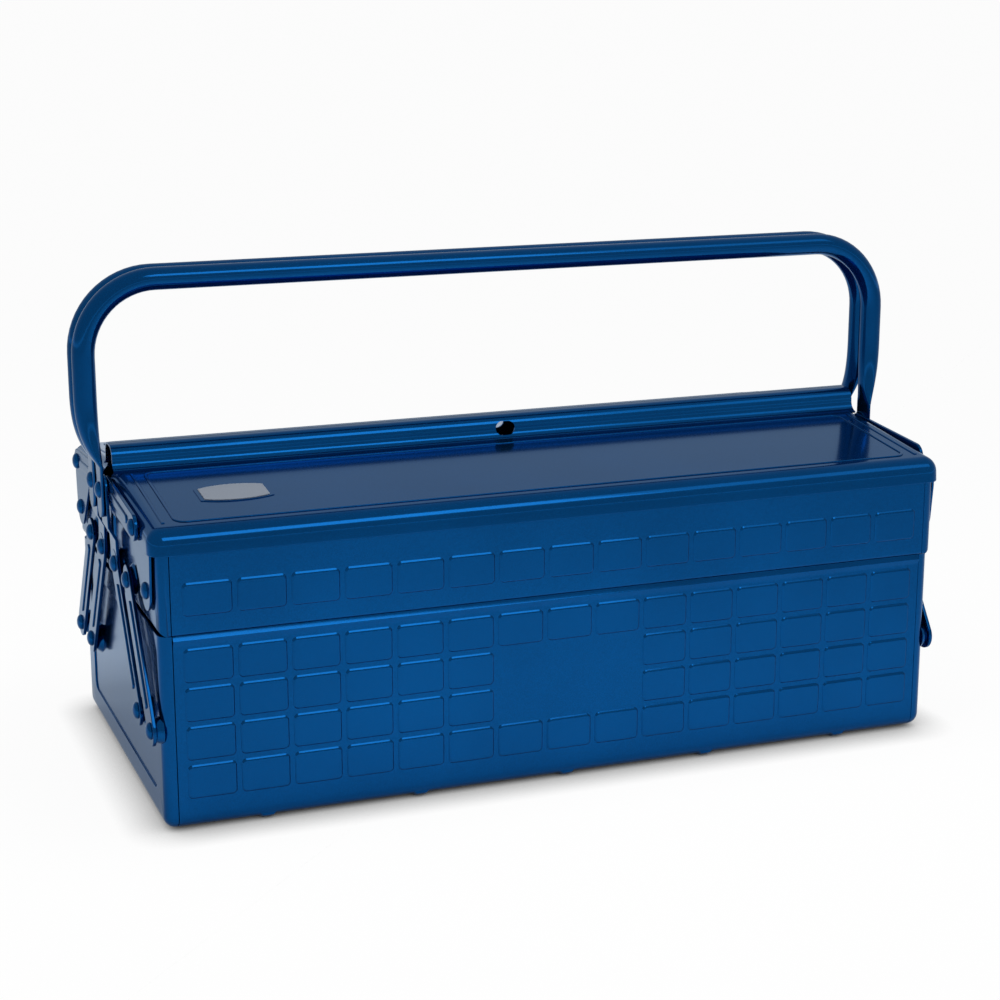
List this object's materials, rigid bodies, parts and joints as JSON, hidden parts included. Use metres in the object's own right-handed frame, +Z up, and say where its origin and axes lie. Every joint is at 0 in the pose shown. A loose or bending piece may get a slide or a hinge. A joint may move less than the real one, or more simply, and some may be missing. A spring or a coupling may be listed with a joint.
{
  "type": "cantilever tool box",
  "caption": "Steel cantilever tool box: a padded-pattern base with swing-out trays on links, lids that lift as the trays open, tube handles and a padlock hole in the ridge.",
  "frame": {"origin": "centre of the footprint, on the surface that the box stands on", "axes": "+X along the length to the right seen from the front, -Y to the front, +Z up"},
  "size_m": [0.5156, 0.2324, 0.295],
  "materials": {
    "sheet_paint": "gloss",
    "linkage_paint": "gloss",
    "rivet_paint": "gloss"
  },
  "bodies": {
    "base": {"base_wrap": "sheet_paint", "base_end_left": "sheet_paint", "base_end_right": "sheet_paint", "base_pivot_rivets": "rivet_paint"},
    "front_swing": {"front_handle": "linkage_paint", "front_inner_link_left": "linkage_paint", "front_inner_link_right": "linkage_paint", "front_handle_rivets": "rivet_paint"},
    "front_tray": {"front_tray_wrap": "sheet_paint", "front_tray_end_left": "sheet_paint", "front_tray_end_right": "sheet_paint", "front_tray_rivets": "rivet_paint"},
    "front_outer_links": {"front_outer_link_left": "linkage_paint", "front_outer_link_right": "linkage_paint"},
    "front_lid": {"front_lid": "sheet_paint", "front_lid_rivets": "rivet_paint", "front_lid_ear_left": "linkage_paint", "front_lid_ear_right": "linkage_paint"},
    "front_lid_straps": {"front_lid_strap_left": "linkage_paint", "front_lid_strap_right": "linkage_paint"},
    "back_swing": {"back_handle": "linkage_paint", "back_inner_link_left": "linkage_paint", "back_inner_link_right": "linkage_paint", "back_handle_rivets": "rivet_paint"},
    "back_tray": {"back_tray_wrap": "sheet_paint", "back_tray_end_left": "sheet_paint", "back_tray_end_right": "sheet_paint", "back_tray_rivets": "rivet_paint"},
    "back_outer_links": {"back_outer_link_left": "linkage_paint", "back_outer_link_right": "linkage_paint"},
    "back_lid": {"back_lid": "sheet_paint", "back_lid_rivets": "rivet_paint", "back_lid_ear_left": "linkage_paint", "back_lid_ear_right": "linkage_paint"},
    "back_lid_straps": {"back_lid_strap_left": "linkage_paint", "back_lid_strap_right": "linkage_paint"}
  },
  "joints": [
    {"name": "front_handle_swing", "type": "hinge", "parent": "base", "child": "front_swing", "pos_m": [0, -0.0697, 0.0578], "axis": [1, 0, 0], "range_deg": [0, 68]},
    {"name": "front_tray_level", "type": "hinge", "parent": "front_swing", "child": "front_tray", "pos_m": [0, -0.0194, 0.1291], "axis": [1, 0, 0], "range_deg": [-68.5, 0]},
    {"name": "front_outer_link_swing", "type": "hinge", "parent": "base", "child": "front_outer_links", "pos_m": [0, -0.1047, 0.0578], "axis": [1, 0, 0], "range_deg": [0, 68.5]},
    {"name": "front_lid_hinge", "type": "hinge", "parent": "front_tray", "child": "front_lid", "pos_m": [0, -0.0969, 0.1345], "axis": [1, 0, 0], "range_deg": [0, 82.83]},
    {"name": "front_strap_pivot", "type": "hinge", "parent": "front_swing", "child": "front_lid_straps", "pos_m": [0, -0.0127, 0.1712], "axis": [1, 0, 0], "range_deg": [-73.82, 0]},
    {"name": "back_handle_swing", "type": "hinge", "parent": "base", "child": "back_swing", "pos_m": [0, 0.0697, 0.0578], "axis": [-1, 0, 0], "range_deg": [0, 68]},
    {"name": "back_tray_level", "type": "hinge", "parent": "back_swing", "child": "back_tray", "pos_m": [0, 0.0194, 0.1291], "axis": [-1, 0, 0], "range_deg": [-68.5, 0]},
    {"name": "back_outer_link_swing", "type": "hinge", "parent": "base", "child": "back_outer_links", "pos_m": [0, 0.1047, 0.0578], "axis": [-1, 0, 0], "range_deg": [0, 68.5]},
    {"name": "back_lid_hinge", "type": "hinge", "parent": "back_tray", "child": "back_lid", "pos_m": [0, 0.0969, 0.1345], "axis": [-1, 0, 0], "range_deg": [0, 82.83]},
    {"name": "back_strap_pivot", "type": "hinge", "parent": "back_swing", "child": "back_lid_straps", "pos_m": [0, 0.0127, 0.1712], "axis": [-1, 0, 0], "range_deg": [-73.82, 0]}
  ],
  "couplings": [
    {"joint": "front_tray_level", "follows": "front_handle_swing", "ratio": -1},
    {"joint": "front_outer_link_swing", "follows": "front_handle_swing", "ratio": 1},
    {"joint": "front_lid_hinge", "follows": "front_handle_swing", "ratio": 1.2107},
    {"joint": "front_strap_pivot", "follows": "front_handle_swing", "ratio": -1.0783},
    {"joint": "back_tray_level", "follows": "back_handle_swing", "ratio": -1},
    {"joint": "back_outer_link_swing", "follows": "back_handle_swing", "ratio": 1},
    {"joint": "back_lid_hinge", "follows": "back_handle_swing", "ratio": 1.2107},
    {"joint": "back_strap_pivot", "follows": "back_handle_swing", "ratio": -1.0783}
  ]
}
